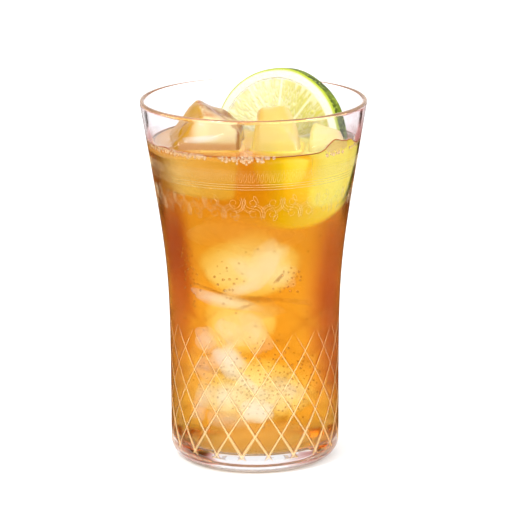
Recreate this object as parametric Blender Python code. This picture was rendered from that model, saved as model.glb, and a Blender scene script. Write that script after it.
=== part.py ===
"""An iced highball: a flared tumbler with a heavy foot, filled with an amber drink.

Three lumps of ice break the surface, and a slice of lime stands behind them. Metres, +Z up.
The origin is the middle of the foot, on the table. The near side of the glass faces -Y.
"""

import math

import bmesh
import bpy
from mathutils import Matrix, Vector

MM = 0.001
SIDES = 64

# The tumbler. Its wall is upright at the foot and leans out towards the rim.
HEIGHT = 129.0 * MM
RIM_RADIUS = 40.0 * MM
FOOT_RADIUS = 30.0 * MM
FLARE_HEIGHT = 68.6 * MM
FLARE_BLEND = 9.5 * MM
HEEL_RADIUS = 5.4 * MM
FLOOR = 6.2 * MM
CORNER_RADIUS = 4.5 * MM
RIM_WALL = 1.5 * MM
FOOT_WALL = 1.9 * MM

# The drink fills the tumbler up to its level, and creeps a little up the wall.
LEVEL = 114.5 * MM
MENISCUS_RISE = 1.2 * MM
MENISCUS_WIDTH = 3.0 * MM
GAP = 0.3 * MM

# The slice of lime is turned and leans back against the far side of the glass.
LIME_RADIUS = 26.6 * MM
LIME_THICKNESS = 6.5 * MM
LIME_CENTRE = Vector((7.6, 8.2, 111.3)) * MM
LIME_TURN = math.radians(33.2)
LIME_LEAN = math.radians(11.9)
LIME_SEGMENTS = 10
STEPS_PER_SEGMENT = 5
FLESH_SHARE = 0.87
CORE_SHARE = 0.1
MEMBRANE_DEPTH = 0.35 * MM
RIND_ROUNDING = 1.1 * MM

# Each lump of ice is the hull of equal balls, placed at its corners in millimetres.
LEFT_ICE_ROUNDING = 1.6
LEFT_ICE_CORNERS = (
    (-19.4, 2.5, 127.0),
    (-16.8, -12.5, 124.0),
    (-28.4, -3.0, 117.2),
    (-26.0, -18.0, 116.5),
    (-6.0, -18.5, 120.5),
    (-4.5, 3.5, 119.0),
    (-24.0, 8.0, 112.0),
    (-24.5, -16.5, 101.0),
    (-7.5, -20.0, 99.5),
    (-6.0, 2.0, 98.0),
    (-22.0, 6.0, 99.0),
)
MIDDLE_ICE_ROUNDING = 3.0
MIDDLE_ICE_CORNERS = (
    (4.0, -10.0, 125.3),
    (10.0, -9.0, 125.6),
    (12.5, -17.0, 121.0),
    (3.0, -17.0, 122.0),
    (2.0, -20.0, 112.0),
    (14.0, -19.5, 112.0),
    (14.0, -6.5, 113.0),
    (3.0, -5.0, 112.0),
    (4.0, -18.0, 105.0),
    (11.5, -17.0, 105.5),
    (11.5, -8.0, 105.0),
    (5.0, -7.0, 105.0),
)
RIGHT_ICE_ROUNDING = 1.8
RIGHT_ICE_CORNERS = (
    (20.5, -16.0, 117.5),
    (22.0, -7.0, 120.0),
    (29.0, -10.5, 118.5),
    (29.5, -15.0, 117.0),
    (25.0, -22.0, 116.3),
    (20.5, -23.0, 116.0),
    (18.0, -22.0, 97.0),
    (18.5, -9.0, 96.0),
    (27.0, -11.5, 97.0),
    (23.0, -18.0, 96.0),
)


def clear_scene():
    for thing in list(bpy.data.objects):
        bpy.data.objects.remove(thing, do_unlink=True)


def material(name, colour, roughness, transmission=0.0, ior=1.45):
    """A plain Principled material."""
    made = bpy.data.materials.new(name)
    made.use_nodes = True
    shader = made.node_tree.nodes["Principled BSDF"]
    shader.inputs["Base Color"].default_value = (*colour, 1.0)
    shader.inputs["Roughness"].default_value = roughness
    shader.inputs["Metallic"].default_value = 0.0
    shader.inputs["Transmission Weight"].default_value = transmission
    shader.inputs["IOR"].default_value = ior
    return made


def finished(name, bm, finish, sharp=math.radians(40)):
    """Turns a bmesh into an object in the scene, with its faces outwards and shaded smooth."""
    bmesh.ops.recalc_face_normals(bm, faces=bm.faces)
    mesh = bpy.data.meshes.new(name)
    bm.to_mesh(mesh)
    bm.free()
    mesh.shade_smooth()
    mesh.set_sharp_from_angle(angle=sharp)
    mesh.materials.append(finish)
    made = bpy.data.objects.new(name, mesh)
    bpy.context.scene.collection.objects.link(made)
    return made


def arc(centre, radius, start, end, steps):
    """Points on a round corner of a profile, by angle from +X."""
    angles = [start + (end - start) * step / steps for step in range(steps + 1)]
    return [(centre[0] + radius * math.cos(a), centre[1] + radius * math.sin(a)) for a in angles]


def spread(low, high, steps):
    return [low + (high - low) * step / steps for step in range(steps + 1)]


def turned(name, profile, finish):
    """A closed body: the profile's points (radius, height), from axis to axis, turned round Z."""
    bm = bmesh.new()
    points = [bm.verts.new((radius, 0.0, height)) for radius, height in profile]
    edges = [bm.edges.new(pair) for pair in zip(points, points[1:])]
    turn = {"cent": (0, 0, 0), "axis": (0, 0, 1), "angle": math.tau, "steps": SIDES}
    bmesh.ops.spin(bm, geom=points + edges, **turn)
    bmesh.ops.remove_doubles(bm, verts=bm.verts, dist=1e-6)
    return finished(name, bm, finish)


def flare(height):
    """How far the flare has opened: nothing below, then a straight lean, blended between."""
    return FLARE_BLEND * math.log1p(math.exp((height - FLARE_HEIGHT) / FLARE_BLEND))


def outer_radius(height):
    slope = (RIM_RADIUS - FOOT_RADIUS) / flare(HEIGHT)
    return FOOT_RADIUS + slope * flare(height)


def inner_radius(height):
    wall = FOOT_WALL + (RIM_WALL - FOOT_WALL) * height / HEIGHT
    return outer_radius(height) - wall


def inside_profile(inset, top, steps):
    """The inside of the tumbler from the middle of its floor up, moved in by the inset."""
    corner = CORNER_RADIUS - inset
    low = FLOOR + CORNER_RADIUS
    middle = (inner_radius(low) - CORNER_RADIUS, low)
    floor = [(0.0, FLOOR + inset), (0.6 * middle[0], FLOOR + inset)]
    wall = [(inner_radius(height) - inset, height) for height in spread(low, top, steps)]
    return floor + arc(middle, corner, -math.pi / 2, 0.0, 5)[:-1] + wall


def make_glass():
    lip = RIM_WALL / 2
    rim = (outer_radius(HEIGHT - lip) - lip, HEIGHT - lip)
    outside = [(outer_radius(height), height) for height in spread(HEIGHT - 2 * lip, HEEL_RADIUS, 14)]
    heel = arc((outer_radius(HEEL_RADIUS) - HEEL_RADIUS, HEEL_RADIUS), HEEL_RADIUS, 0, -math.pi / 2, 6)
    profile = inside_profile(0.0, HEIGHT - 2 * lip, 13)
    profile += arc(rim, lip, math.radians(165), math.radians(15), 4)
    profile += outside + heel[1:] + [(0.0, 0.0)]
    return turned("glass", profile, material("clear_glass", (0.95, 0.96, 0.97), 0.02, 1.0, 1.5))


def make_lump(name, corners, rounding, finish):
    """The hull of balls of one size, one at each corner."""
    bm = bmesh.new()
    for corner in corners:
        place = Matrix.Translation(Vector(corner) * MM)
        bmesh.ops.create_icosphere(bm, subdivisions=2, radius=rounding, matrix=place)
    bmesh.ops.delete(bm, geom=bm.edges[:], context="EDGES_FACES")
    bmesh.ops.convex_hull(bm, input=bm.verts)
    inside = [point for point in bm.verts if not point.link_faces]
    bmesh.ops.delete(bm, geom=inside, context="VERTS")
    return finished(name, bm, finish, math.radians(180))


def lime_place():
    """Turns the slice's own axes (face up, disc flat) to where it stands in the glass."""
    upright = Matrix.Rotation(math.pi / 2, 4, "X")
    lean = Matrix.Rotation(-LIME_LEAN, 4, "X")
    turn = Matrix.Rotation(-LIME_TURN, 4, "Z")
    return Matrix.Translation(LIME_CENTRE) @ turn @ lean @ upright


def face_height(share, step):
    """The cut face's height: level on the pith, sunk along the membranes of the flesh."""
    on_flesh = CORE_SHARE < share < FLESH_SHARE
    on_membrane = step % STEPS_PER_SEGMENT == 0
    return -MEMBRANE_DEPTH if on_flesh and on_membrane else 0.0


def slice_rings(grow):
    """The slice's outline from the middle of its near face, round its edge, to its far face."""
    radius = LIME_RADIUS + grow
    half = LIME_THICKNESS / 2 + grow
    rounding = RIND_ROUNDING + grow
    shares = [CORE_SHARE, 0.3, 0.6, FLESH_SHARE - 0.03, FLESH_SHARE]
    near = [(share * LIME_RADIUS, half, share) for share in shares]
    edge = arc((radius - rounding, half - rounding), rounding, math.pi / 2, 0.0, 3)
    far = [(r, -z, share) for r, z, share in reversed(near)]
    return near + [(r, z, 1.0) for r, z in edge] + [(r, -z, 1.0) for r, z in reversed(edge)] + far


def make_slice(name, grow, finish):
    """The slice of lime, or with a little growth the cutter that clears its place in the drink."""
    steps = LIME_SEGMENTS * STEPS_PER_SEGMENT
    bm = bmesh.new()
    rings = []
    for radius, height, share in slice_rings(grow):
        side = math.copysign(1.0, height)
        ring = []
        for step in range(steps):
            angle = math.tau * step / steps
            sunk = 0.0 if grow else side * face_height(share, step)
            place = (radius * math.cos(angle), radius * math.sin(angle), height + sunk)
            ring.append(bm.verts.new(place))
        rings.append(ring)
    for ring, following in zip(rings, rings[1:]):
        for step in range(steps):
            after = (step + 1) % steps
            bm.faces.new((ring[step], ring[after], following[after], following[step]))
    bm.faces.new(rings[0])
    bm.faces.new(rings[-1])
    bmesh.ops.translate(bm, verts=bm.verts, vec=(0, 0, -LIME_THICKNESS / 2))
    made = finished(name, bm, finish)
    made.matrix_world = lime_place()
    return made


def drink_profile():
    """From the middle of the surface, out and up the meniscus, then down inside the glass."""
    edge = inner_radius(LEVEL + MENISCUS_RISE) - GAP
    surface = [(0.0, LEVEL), (edge - MENISCUS_WIDTH, LEVEL)]
    for share in (0.4, 0.7, 1.0):
        radius = edge - MENISCUS_WIDTH * (1 - share)
        surface.append((radius, LEVEL + MENISCUS_RISE * share**3))
    inside = inside_profile(GAP, LEVEL + MENISCUS_RISE, 12)
    return surface + inside[::-1][1:]


def make_drink(cutters):
    drink = turned("drink", drink_profile(), material("amber_drink", (0.9, 0.42, 0.06), 0.02, 0.9, 1.33))
    for cutter in cutters:
        cutter.hide_render = True
        cutter.display_type = "WIRE"
        cut = drink.modifiers.new(cutter.name, "BOOLEAN")
        cut.operation = "DIFFERENCE"
        cut.object = cutter
    return drink


def make_part():
    clear_scene()
    ice = material("clear_ice", (0.97, 0.93, 0.84), 0.08, 1.0, 1.31)
    lime = material("lime", (0.78, 0.82, 0.3), 0.35)
    make_glass()
    lumps = {
        "ice_left": (LEFT_ICE_CORNERS, LEFT_ICE_ROUNDING * MM),
        "ice_middle": (MIDDLE_ICE_CORNERS, MIDDLE_ICE_ROUNDING * MM),
        "ice_right": (RIGHT_ICE_CORNERS, RIGHT_ICE_ROUNDING * MM),
    }
    cutters = []
    for name, (corners, rounding) in lumps.items():
        make_lump(name, corners, rounding, ice)
        cutters.append(make_lump(f"{name}_cutter", corners, rounding + GAP, ice))
    make_slice("lime_slice", 0.0, lime)
    cutters.append(make_slice("lime_cutter", GAP, lime))
    make_drink(cutters)


make_part()
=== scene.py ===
"""An iced highball in a cut tumbler: the looks, built round the packed model as a fixed frame.

The file is laid out as a Blender add-on. Each operator makes one piece or one group of like pieces.
Metres, +Z up. The near side of the glass faces -Y, and angles round it start there, turning to +X.
"""

import math

import bpy
import numpy as np
from bpy.props import FloatProperty, FloatVectorProperty, IntProperty, PointerProperty
from bpy.types import Operator, Panel, PropertyGroup
from mathutils import Matrix, Vector


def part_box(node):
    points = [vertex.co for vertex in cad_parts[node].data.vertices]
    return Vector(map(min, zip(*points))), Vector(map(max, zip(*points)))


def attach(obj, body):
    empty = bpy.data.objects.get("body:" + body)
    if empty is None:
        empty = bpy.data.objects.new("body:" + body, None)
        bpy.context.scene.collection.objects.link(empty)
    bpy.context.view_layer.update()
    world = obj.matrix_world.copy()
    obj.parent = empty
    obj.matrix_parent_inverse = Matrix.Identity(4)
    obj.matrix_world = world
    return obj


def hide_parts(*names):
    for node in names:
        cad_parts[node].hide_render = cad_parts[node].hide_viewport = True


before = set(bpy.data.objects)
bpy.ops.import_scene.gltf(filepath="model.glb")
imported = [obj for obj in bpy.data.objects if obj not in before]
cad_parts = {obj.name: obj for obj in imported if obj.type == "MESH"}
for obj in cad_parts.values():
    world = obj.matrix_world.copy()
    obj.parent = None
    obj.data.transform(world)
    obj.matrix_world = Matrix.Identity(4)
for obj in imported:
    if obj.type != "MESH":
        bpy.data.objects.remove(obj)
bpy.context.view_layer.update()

bl_info = {
    "name": "Iced highball",
    "version": (1, 0, 0),
    "blender": (4, 5, 0),
    "location": "3D View > Sidebar > Highball",
    "description": "Builds a cut tumbler of amber drink with ice and a slice of lime",
    "category": "Add Mesh",
}

MM = 0.001
OVERLAP = 0.05 * MM
SKIN = 0.02 * MM

# The tumbler's turned shape, as in the packed model.
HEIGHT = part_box("glass")[1].z
RIM_RADIUS = 40.0 * MM
FOOT_RADIUS = 30.0 * MM
FLARE_HEIGHT = 68.6 * MM
FLARE_BLEND = 9.5 * MM
HEEL_RADIUS = 5.4 * MM
FLOOR = 6.2 * MM
CORNER_RADIUS = 4.5 * MM
RIM_WALL = 1.5 * MM
FOOT_WALL = 1.9 * MM

# The drink's level, and the way it creeps up whatever it touches.
LEVEL = 114.5 * MM
MENISCUS_RISE = 1.2 * MM
BRIDGE_RISE = 4.0 * MM

# The lattice cut into the wall. One row of crossings lies on the angles 0, one pitch, two pitches.
ROW_HEIGHT = 7.3 * MM
EVEN_ROW = 14.9 * MM
STEPS_PER_PITCH = 24
ROWS_BELOW = 17
ROWS_ABOVE = 61
CUT_END = 1.2 * MM
# A groove's breadth and depth low down, as a share of the settings, and how much less they are at the top.
BROAD_LOW = 1.25
BROAD_FALL = 0.5

# The etched pattern: the heights of its fine lines, loops, dots and scrolls, and how many there are of each.
HOOP_HEIGHTS = (104.3 * MM, 105.2 * MM, 106.05 * MM)
LOOPS_HEIGHT = 108.55 * MM
DOTS_HEIGHT = 110.9 * MM
SCROLL_HEIGHT = 97.4 * MM
LOOPS = 158
DOTS = 200
SCROLLS = 16
# The curls of a scroll: lean in degrees, radius at the start and at the end in millimetres, and turns.
CURLS = ((-30, 2.4, 0.5, 1.2), (-40, 3.1, 3.0, 0.42), (-25, 3.8, 3.6, 0.3))

# The slice of lime, as in the packed model.
LIME_RADIUS = 26.6 * MM
LIME_THICKNESS = 6.5 * MM
LIME_CENTRE = Vector((7.6, 8.2, 111.3)) * MM
LIME_TURN = math.radians(33.2)
LIME_LEAN = math.radians(11.9)
LIME_SEGMENTS = 10
FLESH_SHARE = 0.87
RIND_ROUNDING = 1.1 * MM
PEEL_COLUMNS = 320
FLESH_COLUMNS = 360

# Blocks of ice wholly under the surface, in millimetres and degrees: middle, half depth, the lean of the
# front, and the flat sides, each by its direction in the upright plane and its distance from the middle.
SUNK_ICE = (
    ((0.5, -1, 72), 18, (10, -16),
     ((90, 14), (24, 11.7), (257.5, 12), (180, 17), (128, 17), (318, 12.5))),
    ((-5, -1, 49.5), 14.5, (-10, -12),
     ((77.5, 10), (15, 13.5), (265, 12.5), (180, 8), (325, 12))),
    ((0, -1, 26.5), 18.5, (6, 4),
     ((48, 12), (100, 11.5), (150, 16), (270, 12), (0, 18), (180, 18))),
)
ICE_SHARPNESS = 2.6
BLOCK_GRID = (64, 96)
# Milky patches, where air is frozen into the ice, that glow with painted light: middle, radii, tilt in
# degrees, and how many veils.
MILKY = (
    ((4.1, -17, 76), (4.5, 3.5, 8), 24, 8),
    ((-2, -17, 72), (3, 2, 6.5), -40, 4),
    ((8.5, -15, 70), (4, 3, 4), 12, 3),
    ((-8.5, -19, 61.3), (11, 2, 2.2), 13, 6),
    ((-4.5, -17, 51), (6.5, 3, 6), -30, 2),
    ((-8.3, -20.5, 40.5), (4.6, 2.4, 5.8), -35, 10),
    ((-2.5, -20, 32), (9, 2, 2), 42, 7),
    ((0.5, -21, 22), (5.5, 2.2, 4), 12, 16),
    ((-15.5, -19, 47), (4, 2, 4.5), -35, 3),
    ((-16, -19, 37), (3.5, 2, 4), -35, 2),
    ((-8.5, -19, 18.5), (7, 2, 3), 0, 3),
    ((-2.9, -20, 66.6), (6.5, 1.5, 2.2), -20, 5),
    ((-8, -20, 50), (5, 2, 3), 45, 2),
    ((0.5, -20, 50), (3.5, 2, 7), -25, 3),
    ((-17.5, -17, 24), (2.5, 2, 7), 15, 3),
    ((10.4, -19, 29.6), (6, 1.5, 2.6), 35, 3),
    ((-10, -19.5, 27), (2.5, 1.5, 4.5), 10, 4),
    ((-8.5, -18, 26), (8, 2.5, 5), 0, 4),
    ((5.5, -18, 26), (6.5, 2.5, 4.5), 0, 3),
    # The last four, in the lumps above the drink, are painted highlights.
    ((-17.5, -19.2, 118.8), (6.5, 0.9, 1.2), -4, 7),
    ((-18, -13.8, 122.6), (1.3, 2.2, 1.6), 0, 5),
    ((12.2, -17.5, 120.2), (0.7, 1, 5.5), -29, 7),
    ((24, -12, 118.8), (4, 1.5, 0.7), -6, 5),
)
# Peach patches of painted light that glow in the drink, given in the same way: under its surface, and over
# the floor.
PEACH_GLOW = (
    ((-27, 4, 112.9), (14, 26, 1.3), 0, 12),
    ((-1, -17, 11), (19, 8.5, 5.8), 0, 6),
    ((-17, -16, 30), (7, 4, 15), 0, 2),
    ((3.5, -20, 58.5), (6.5, 2, 3), 6, 6),
    ((-2, -18, 86), (17, 3, 7), 6, 5),
    ((2, -19, 14.5), (16, 3, 4), 0, 6),
    ((-15, -20, 109), (16, 8, 4.5), 5, 4),
)
# Thin brown lines of painted shade between the sunk blocks and in the left lump's crease, given in the same
# way.
SHADE_LINES = (
    ((-13.3, -19.5, 65.4), (7.5, 0.8, 0.6), 19, 4),
    ((0.4, -21, 62.7), (8.5, 0.8, 1.3), 3, 4),
    ((12.7, -19.5, 61.3), (6, 0.8, 0.9), 10, 2),
    ((8, -21, 70.3), (2.7, 0.7, 0.6), -50, 7),
    ((-12, -21, 36), (9, 0.8, 1.2), 12, 3),
    ((-3, -21.5, 60), (4, 0.8, 0.7), -20, 3),
    ((-21.2, -11.4, 123.4), (5, 0.5, 0.3), -26, 8),
)
VEIL_STEP = 0.08
VEIL_GRID = (14, 24)
# The colours of the ice above the drink, painted light and shade by where each side lies and faces: in
# front, in front at its left end, in front at the waterline, to the left, to the right, and on top.
AFLOAT = {
    "ice_left": ("#F0E8BE", "#E6C48C", "#D2A478", "#C89814", "#9C662A", "#B87030"),
    "ice_middle": ("#E8D27A", "#E8D27A", "#DCC460", "#E0BE58", "#ECDC96", "#EEE0A0"),
    "ice_right": ("#F0E4A0", "#F0E4A0", "#F0E4A0", "#EAD47C", "#EED6AE", "#F0E6B0"),
}
# Where the painted glow of the slice under the drink turns from peach to yellow, by X in mm.
GLOW_PLACES = (-18, -6, 2, 7, 11)
GLOW_COLOURS = ("#FFE8BC", "#FFDC80", "#FFDC58", "#FFFA30", "#FFF98C")
# Bubbles that cling to the glass: the drift's middle turn and its spread in degrees, its middle height
# and its spread in millimetres, how many are drawn, and their size as a share of the usual one.
DRIFTS = (
    (12, 32, 33, 9, 400, 0.95),
    (-48, 8, 72, 9, 60, 1.1),
    (-18, 10, 70, 5, 34, 1.25),
    (-30, 16, 33, 7, 60, 0.9),
    (24, 7, 70, 3, 50, 1.0),
    (0, 150, 60, 30, 90, 0.8),
)
# Rows of froth: first turn and last turn in degrees, how far down in millimetres, and how many.
FROTH_ROWS = (
    (-82, -24, -0.4, 38),
    (-72, -28, 0.6, 17),
    (-19, 10, -0.4, 17),
    (-17, 6, 0.6, 12),
    (-9, -4, 1.6, 2),
    (44, 56, 0.6, 6),
    (64, 84, 0.1, 8),
)
BALL_GRID = (8, 12)
# Gels round the glass: the turns where each starts, is full, stops being full and ends, in degrees, its
# path (radius and height in millimetres, and how well it covers there), and its colour setting.
FLAG_PATH = ((170, 74, 0), (170, 79, 1), (170, 92, 1), (170, 99, 0))
HEEL_PATH = ((500, 60, 0), (500, 100, 1), (500, 850, 1), (500, 950, 0))
GELS = (
    ((130, 142, 157, 166), (
        (46, 0.3, 0), (62, 0.3, 0.05), (85, 0.3, 0.12), (125, 0.3, 0.2), (168, 0.3, 0.35), (170, 8, 0.5),
        (170, 20, 0.6), (170, 30, 0.7), (170, 42, 0.85), (170, 64, 0.8), (170, 73, 0.5), (170, 80, 0.2),
        (170, 88, 0),
    ), "gel"),
    ((190, 207, 219, 236), (
        (46, 0.3, 0), (62, 0.3, 0.3), (80, 0.3, 0.55), (168, 0.3, 0.6), (170, 10, 0.6), (170, 20, 0.78),
        (170, 27, 0.76), (170, 38, 0.62), (170, 57, 0.54), (170, 68, 0.42), (170, 75, 0.14), (170, 86, 0),
    ), "gel"),
    ((212, 216, 226, 230), FLAG_PATH, "flag"),
    ((133, 136, 143, 146), FLAG_PATH, "flag"),
    ((250, 275, 330, 350), ((80, 0.3, 0), (110, 0.3, 1), (280, 0.3, 1), (340, 0.3, 0)), "heel"),
    ((124, 130, 150, 158), HEEL_PATH, "heel"),
    ((213, 221, 246, 254), HEEL_PATH, "heel"),
)
# Strip lights seen in the gloss alone: their turns, as a gel's, and the path that both follow.
STRIPS = ((12, 13, 104, 105), (255, 256, 347, 348))
STRIP_PATH = ((900, 15, 1), (900, 130, 1))
# The soft boxes: place and size in metres, and power in watts.
SOFT_BOXES = (
    ((-0.55, -0.6, 0.75), (0.25, 0.6), 9.0),
    ((0.7, -0.35, 0.6), (0.15, 0.4), 4.0),
)


def linear(code):
    """A colour from its sRGB hex code, as linear red, green, blue and alpha."""
    parts = np.array([int(code[place:place + 2], 16) for place in (1, 3, 5)]) / 255
    curve = np.where(parts <= 0.04045, parts / 12.92, ((parts + 0.055) / 1.055) ** 2.4)
    return (*curve.tolist(), 1.0)


WHITE = linear("#FFFFFF")
WATER = 1.33


def length_setting(name, description, default):
    """A length that a user may change, held in metres."""
    return FloatProperty(name=name, description=description, default=default, unit="LENGTH")


def angle_setting(name, description, degrees):
    """An angle that a user may change, given in degrees."""
    return FloatProperty(name=name, description=description, default=math.radians(degrees), unit="ROTATION")


def colour_setting(name, description, code):
    """A colour that a user may change, given as sRGB hex."""
    return FloatVectorProperty(
        name=name, description=description, default=linear(code), size=4, subtype="COLOR", min=0, max=1
    )


class HighballGlass(PropertyGroup):
    """The tumbler and its cut and etched pattern."""

    diamonds: IntProperty(name="Diamonds", description="Diamonds of the cut, round the glass", default=20)
    cut_depth: length_setting("Cut depth", "How deep the lattice is cut", 0.14 * MM)
    cut_width: length_setting("Cut width", "Width of a groove at the surface", 1.7 * MM)
    line_width: length_setting("Etched line", "Width of an etched line", 0.22 * MM)
    line_height: length_setting("Etched relief", "How far a frosted line stands proud", 0.05 * MM)
    tint: colour_setting("Glass", "Tint of the clear glass", "#FBFBFE")
    lip: colour_setting("Lip", "Colour of the light in the lip", "#E09A62")
    frost: colour_setting("Frost", "Colour of the etched lines", "#FFE9B8")


class HighballDrink(PropertyGroup):
    """The drink and its bubbles."""

    reach: length_setting("Reach", "How far the drink reaches into the wall, to show no gap", 0.08 * MM)
    density: FloatProperty(name="Absorption", description="Strength of the colour, per metre", default=80)
    passed: colour_setting("Drink", "Colour that the drink lets through", "#F8DC00")
    bubble: length_setting("Bubble", "Radius of a bubble under the surface", 0.42 * MM)
    froth: length_setting("Froth bubble", "Radius of a bubble at the waterline", 0.72 * MM)


class HighballIce(PropertyGroup):
    """The lumps of ice, and the veils of painted light and shade round them."""

    melt_wave: length_setting("Melt wave", "Length of the waves that melting leaves", 9.0 * MM)
    melt_depth: length_setting("Melt depth", "Depth of those waves", 0.25 * MM)
    grain: length_setting("Grain", "Side of the small squares of an ice lump's skin", 0.7 * MM)
    tint: colour_setting("Ice", "Tint of the ice", "#FDFEFF")
    milk: colour_setting("Milk", "Colour of the air frozen into the ice", "#FFFDFF")
    haze: colour_setting("Haze", "Colour of the haze in the drink", "#F2B45E")
    crack: colour_setting("Crack", "Colour of the cracks between the blocks", "#9C5420")


class HighballLime(PropertyGroup):
    """The slice of lime."""

    rind: colour_setting("Rind", "Colour of the skin", "#33420A")
    zest: colour_setting("Zest", "Colour of the skin where it is cut", "#A8B23C")
    pith: colour_setting("Pith", "Colour of the pith", "#EBE9CF")
    flesh: colour_setting("Flesh", "Colour of the juice sacs", "#D6D29A")
    sac_length: length_setting("Sac length", "Length of a juice sac", 4.2 * MM)
    sac_width: length_setting("Sac width", "Width of a juice sac", 1.3 * MM)
    sac_relief: length_setting("Sac relief", "How far the sacs stand above their edges", 0.28 * MM)


class HighballStage(PropertyGroup):
    """The camera, the floor and the light."""

    distance: length_setting("Distance", "How far the camera stands from the glass", 1.0952)
    rise: length_setting("Camera height", "Height of the camera above the table", 0.3461)
    lens: FloatProperty(name="Focal length", description="Focal length in millimetres", default=223.73)
    down: angle_setting("Pitch", "How far the camera looks down", 14.047)
    aside: angle_setting("Yaw", "How far the camera looks aside", 0.034)
    tip: angle_setting("Roll", "How far the camera is tipped", -0.3)
    floor: colour_setting("Floor", "Colour of the floor", "#F8F8F8")
    gel: colour_setting("Gel", "Colour of the gels that stand behind the glass", "#A0504A")
    flag: colour_setting("Flag", "Colour of the dark flags above them", "#1E1C1A")
    heel: colour_setting("Heel gel", "Colour of the gels that darken the heel of the glass", "#6E5C34")
    strip: colour_setting("Strip", "Colour of the strip lights that the cuts reflect", "#FFE0A0")
    mat: colour_setting("Mat", "Colour of the dark mat that only gloss shows", "#3A1A0A")


def fill(tree, node, inputs):
    """Sets a node's inputs, by name or number, to values, to other nodes' outputs or to what a mesh stores.

    The last is given as a text with the name that it is stored under and the output that is read.
    """
    for name, value in inputs.items():
        if isinstance(value, str):
            stored, output = value.split()
            value = add_node(tree, "Attribute", {}, output, attribute_name=stored)
        if isinstance(value, bpy.types.NodeSocket):
            tree.links.new(value, node.inputs[name])
        else:
            node.inputs[name].default_value = value


def add_node(tree, kind, inputs, output=0, **settings):
    """Adds a node with its settings and its inputs, and gives back one of its outputs."""
    node = tree.nodes.new(f"ShaderNode{kind}")
    for name, value in settings.items():
        setattr(node, name, value)
    fill(tree, node, inputs)
    return node.outputs[output]


def new_material(name, inputs):
    """A material whose surface is one Principled shader with these inputs, its tree and that shader."""
    made = bpy.data.materials.new(name)
    made.use_nodes = True
    shader = made.node_tree.nodes["Principled BSDF"]
    fill(made.node_tree, shader, inputs)
    return made, made.node_tree, shader


def clear_inputs(ior, tint=WHITE):
    """The inputs of a smooth and clear material."""
    return {"Base Color": tint, "Roughness": 0.0, "IOR": ior, "Transmission Weight": 1.0}


def patchy(tree, wave, detail=2.0):
    """A value from 0 to 1 that changes from patch to patch. A patch is about one wave across."""
    place = add_node(tree, "TexCoord", {}, "Object")
    return add_node(tree, "TexNoise", {"Vector": place, "Scale": 1 / wave, "Detail": detail}, "Fac")


def make_uneven(tree, shader, height, depth, strength):
    """Bends the surface by a height between 0 and 1 that stands for the given depth."""
    inputs = {"Height": height, "Distance": depth, "Strength": strength}
    fill(tree, shader, {"Normal": add_node(tree, "Bump", inputs, "Normal")})


def turned_to(tree, first, second, value, ends=None):
    """A colour that goes from the first to the second as the value goes from 0 to 1.

    Where two ends are given, the value goes smoothly from one end to the other instead.
    """
    if ends:
        inputs = {"Value": value, "From Min": ends[0], "From Max": ends[1]}
        value = add_node(tree, "MapRange", inputs, "Result", interpolation_type="SMOOTHSTEP")
    return add_node(tree, "Mix", {0: value, 6: first, 7: second}, 2, data_type="RGBA")


def cut_glass_material(settings):
    """Clear soda-lime glass, blown, cut and fire-polished: sharp, bright and a little wavy.

    Its lip is given a warm painted glow, standing in for the light that the wall carries up from the drink.
    Where glass, ice and drink touch, the mirror shine is taken off, because such a face reflects almost
    nothing.
    """
    # Painted glow in the lip colour, as strong as the lip value that the mesh stores.
    lip = {"Emission Color": settings.lip, "Emission Strength": "lip Fac"}
    inputs = {**clear_inputs(1.5, settings.tint), **lip, "Specular Tint": "bare Fac"}
    made, tree, shader = new_material("clear_soda_lime_glass_fire_polished", inputs)
    make_uneven(tree, shader, patchy(tree, 14 * MM, 0.0), 0.25 * MM, 0.5)
    return made


def etched_material(colour):
    """Glass etched by a needle and acid: a matt white line that lets part of the drink's colour by."""
    inputs = {"Base Color": colour, "Roughness": 0.6, "Alpha": 0.29}
    made, tree, shader = new_material("needle_etched_frost", inputs)
    make_uneven(tree, shader, patchy(tree, 0.5 * MM, 1.0), 0.05 * MM, 0.6)
    return made


def flank_material(name, colour, light, alpha):
    """A cut's flank: satin glass whose colour and glow paint a highlight on lit flanks and shade on shaded
    ones.
    """
    lit = {"Emission Color": linear(light), "Emission Strength": 0.35}
    inputs = {"Base Color": linear(colour), "Roughness": 0.35, "Alpha": alpha, **lit}
    return new_material(f"painted_cut_flank_{name}", inputs)[0]


def drink_material(settings):
    """The body of a clear amber drink: it takes blue first, then green, so it is gold thin and orange deep.

    It bends no light: the drink's skin does that. So ice and bubbles in it need no second surface.
    """
    made, tree, shader = new_material("amber_drink_body", clear_inputs(1.0))
    inputs = {"Color": settings.passed, "Density": settings.density}
    volume = add_node(tree, "VolumeAbsorption", inputs, "Volume")
    fill(tree, tree.nodes["Material Output"], {"Volume": volume})
    return made


def meniscus_shade_material():
    """The drink's edge up the glass: a thin dark amber line of painted shade, with a faint painted glow."""
    lit = {"Emission Color": linear("#B85A18"), "Emission Strength": 0.3}
    inputs = {"Base Color": linear("#A04E14"), "Roughness": 0.3, "IOR": WATER, **lit}
    return new_material("painted_meniscus_shade", inputs)[0]


def drink_skin_material():
    """The surface of a watery drink, and its film over the ice: it bends light as water does.

    It shines in air alone. Thawing has left soft dimples in the ice, which the film shows.
    """
    inputs = {**clear_inputs(WATER), "Specular Tint": "bare Fac", "Roughness": "cloudy Fac"}
    made, tree, shader = new_material("clear_drink_skin", inputs)
    make_uneven(tree, shader, patchy(tree, 3.5 * MM, 1.0), 0.3 * MM, "film Fac")
    return made


def ice_material(name, tint):
    """Clear ice in the drink, which bends light almost as much: its edges all but vanish.

    Its IOR is counted against the drink round it, not against air.
    """
    return new_material(name, clear_inputs(1.002, tint))[0]


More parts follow.
